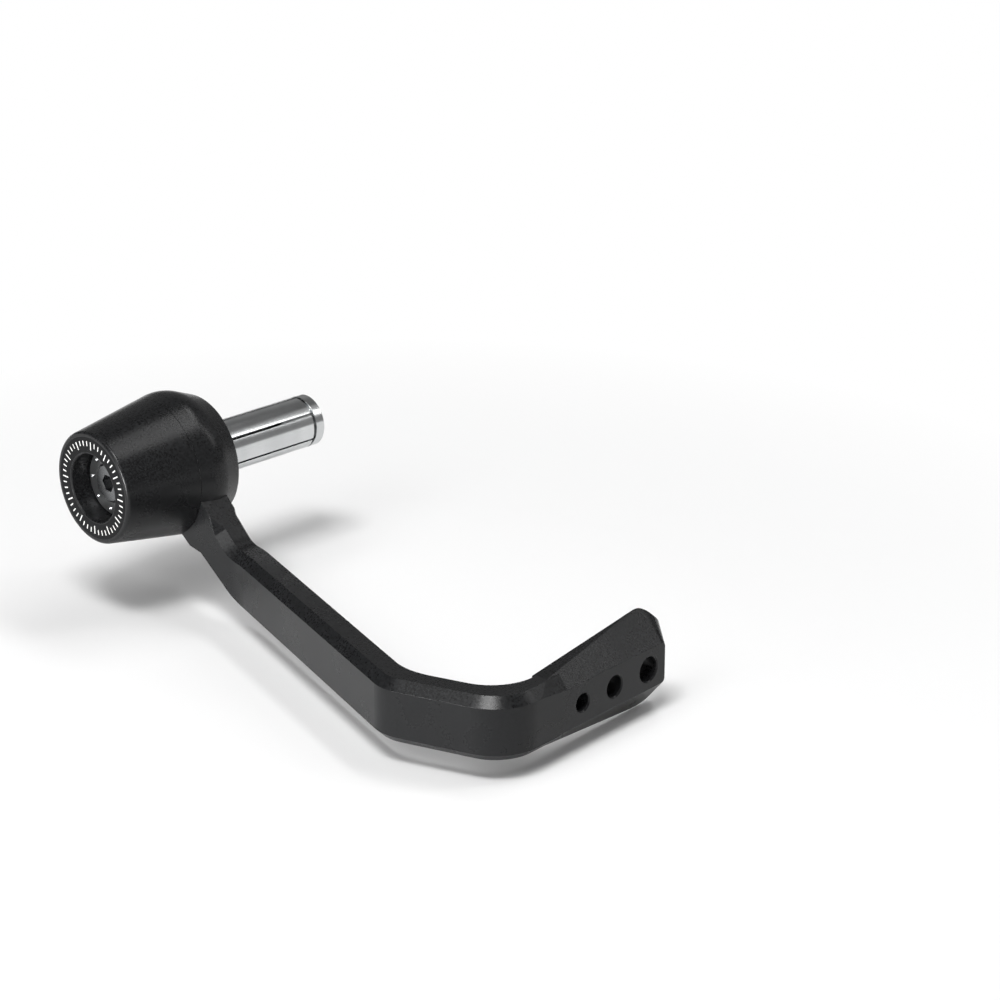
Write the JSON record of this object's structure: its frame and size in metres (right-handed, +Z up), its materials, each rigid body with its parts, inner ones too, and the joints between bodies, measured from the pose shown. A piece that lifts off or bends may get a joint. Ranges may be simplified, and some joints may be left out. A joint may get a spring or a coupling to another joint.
{
  "type": "brake lever guard",
  "caption": "Bent bevelled blade on a bar-end hub, held in the end of a motorbike handlebar by an expanding sleeve, that keeps the brake lever from being pressed by contact.",
  "frame": {"origin": "middle of the face that seats on the end of the handlebar, on the hub axis", "axes": "+X along the hub axis into the handlebar, -Y ahead of the bike, +Z up; the rider's right-hand side"},
  "size_m": [0.0738, 0.1558, 0.0547],
  "materials": {
    "guard_arm": "fine blasted, matte black",
    "nose_cone": "fine blasted, matte black",
    "seat_bush": "turned and polished",
    "expander_sleeve": "turned and polished",
    "wedge_nut": "turned and polished",
    "head_washer": "dark satin",
    "clamp_bolt": "zinc plated"
  },
  "bodies": {
    "root": {"guard_arm": "guard_arm", "nose_cone": "nose_cone", "seat_bush": "seat_bush", "expander_sleeve": "expander_sleeve", "wedge_nut": "wedge_nut", "head_washer": "head_washer", "clamp_bolt": "clamp_bolt"}
  },
  "joints": []
}
